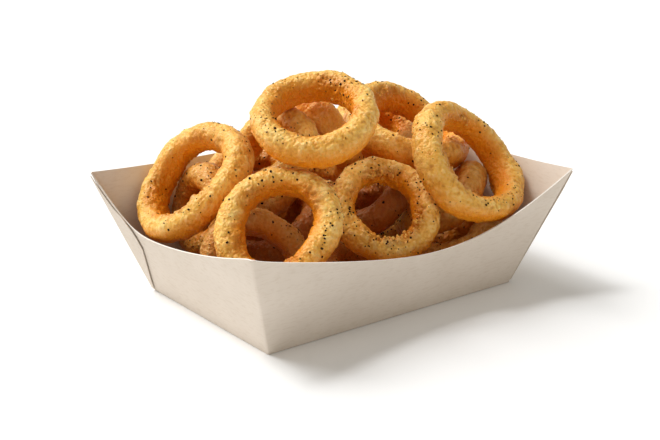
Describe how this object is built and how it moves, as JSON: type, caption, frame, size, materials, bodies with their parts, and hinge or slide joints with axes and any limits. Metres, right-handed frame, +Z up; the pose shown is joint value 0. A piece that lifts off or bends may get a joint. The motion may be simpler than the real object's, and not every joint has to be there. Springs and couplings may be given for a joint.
{
  "type": "onion rings side",
  "caption": "Battered fried onion rings heaped in an open folded paperboard tray with leaning walls and pointed corners.",
  "frame": {"origin": "centre of the tray's floor, on the ground", "axes": "+X along the tray's long way, +Y towards its high long wall, +Z up; the low walls are at -Y and -X"},
  "size_m": [0.1848, 0.1322, 0.1034],
  "materials": {
    "tray": "uncoated, faintly fibrous, matte",
    "ring_top": "crisp fried batter, lumpy, with an oily half gloss",
    "ring_left": "crisp fried batter, lumpy, with an oily half gloss",
    "ring_front_left": "crisp fried batter, lumpy, with an oily half gloss",
    "ring_front_right": "crisp fried batter, lumpy, with an oily half gloss",
    "ring_right": "crisp fried batter, lumpy, with an oily half gloss",
    "ring_back_right": "crisp fried batter, lumpy, with an oily half gloss",
    "ring_back_left": "crisp fried batter, lumpy, with an oily half gloss",
    "ring_upright": "crisp fried batter, lumpy, with an oily half gloss",
    "ring_middle": "crisp fried batter, lumpy, with an oily half gloss",
    "ring_inner_left": "crisp fried batter, lumpy, with an oily half gloss",
    "ring_low_right": "crisp fried batter, lumpy, with an oily half gloss",
    "ring_low_left": "crisp fried batter, lumpy, with an oily half gloss",
    "ring_floor_left": "crisp fried batter, lumpy, with an oily half gloss",
    "ring_inner_right": "crisp fried batter, lumpy, with an oily half gloss",
    "ring_floor_middle": "crisp fried batter, lumpy, with an oily half gloss",
    "ring_floor_right": "crisp fried batter, lumpy, with an oily half gloss",
    "ring_floor_back": "crisp fried batter, lumpy, with an oily half gloss",
    "ring_high_middle": "crisp fried batter, lumpy, with an oily half gloss"
  },
  "bodies": {
    "root": {"tray": "tray", "ring_top": "ring_top", "ring_left": "ring_left", "ring_front_left": "ring_front_left", "ring_front_right": "ring_front_right", "ring_right": "ring_right", "ring_back_right": "ring_back_right", "ring_back_left": "ring_back_left", "ring_upright": "ring_upright", "ring_middle": "ring_middle", "ring_inner_left": "ring_inner_left", "ring_low_right": "ring_low_right", "ring_low_left": "ring_low_left", "ring_floor_left": "ring_floor_left", "ring_inner_right": "ring_inner_right", "ring_floor_middle": "ring_floor_middle", "ring_floor_right": "ring_floor_right", "ring_floor_back": "ring_floor_back", "ring_high_middle": "ring_high_middle"}
  },
  "joints": []
}
